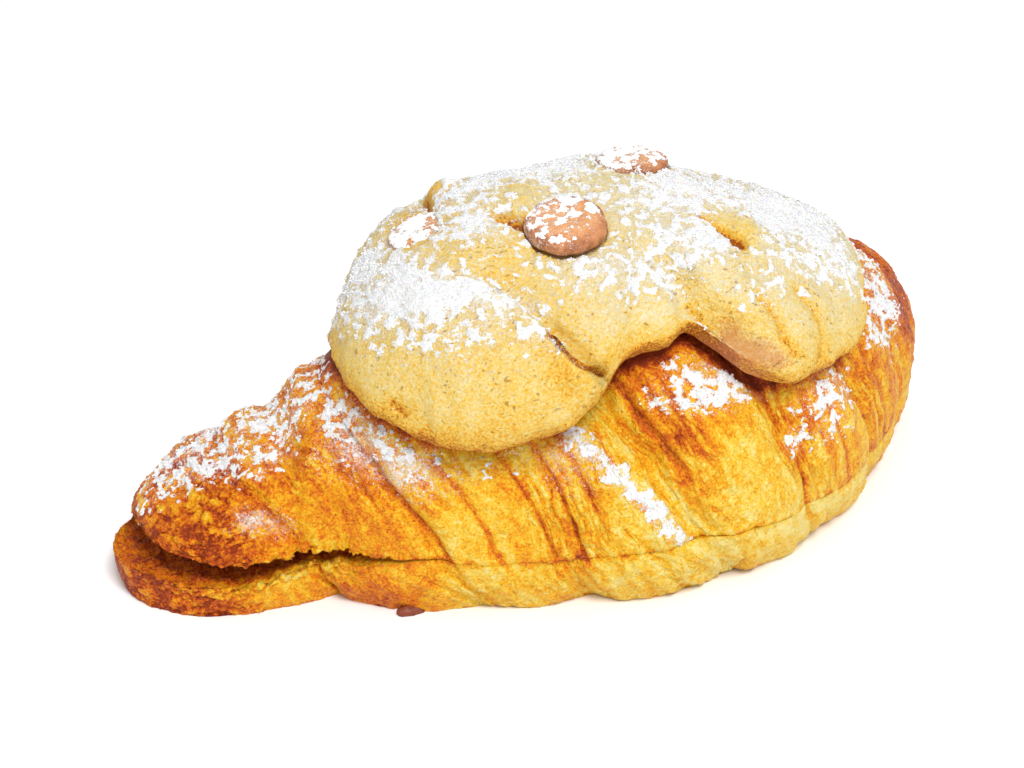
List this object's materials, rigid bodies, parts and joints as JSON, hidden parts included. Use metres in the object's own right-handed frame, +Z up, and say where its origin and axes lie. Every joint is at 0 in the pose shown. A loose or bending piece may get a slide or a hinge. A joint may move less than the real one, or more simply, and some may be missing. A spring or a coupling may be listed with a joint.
{
  "type": "cookie croissant",
  "caption": "Butter croissant cut open like a sandwich, with a slab of cookie dough baked over its lid and chocolate buttons pressed into the dough.",
  "frame": {"origin": "centre of the bounding box in plan, on the surface it rests on", "axes": "+X along the croissant from its narrow tip to its blunt tip, +Z up, the side seen in the picture towards -Y"},
  "size_m": [0.172, 0.0768, 0.0724],
  "materials": {
    "crust_base": "baked flaky crust, pale gold at the cut and darker at the narrow tip",
    "crust_lid": "baked flaky crust, golden orange with darker edges, dusted with sugar",
    "cookie": "matte baked cookie dough with small pores, dusted with sugar",
    "milk_chocolate": "satin milk chocolate, dusted with sugar"
  },
  "bodies": {
    "root": {"croissant_base": "crust_base", "croissant_lid": "crust_lid", "cookie_slab": "cookie", "chocolate_button_1": "milk_chocolate", "chocolate_button_2": "milk_chocolate", "chocolate_button_3": "milk_chocolate"}
  },
  "joints": []
}
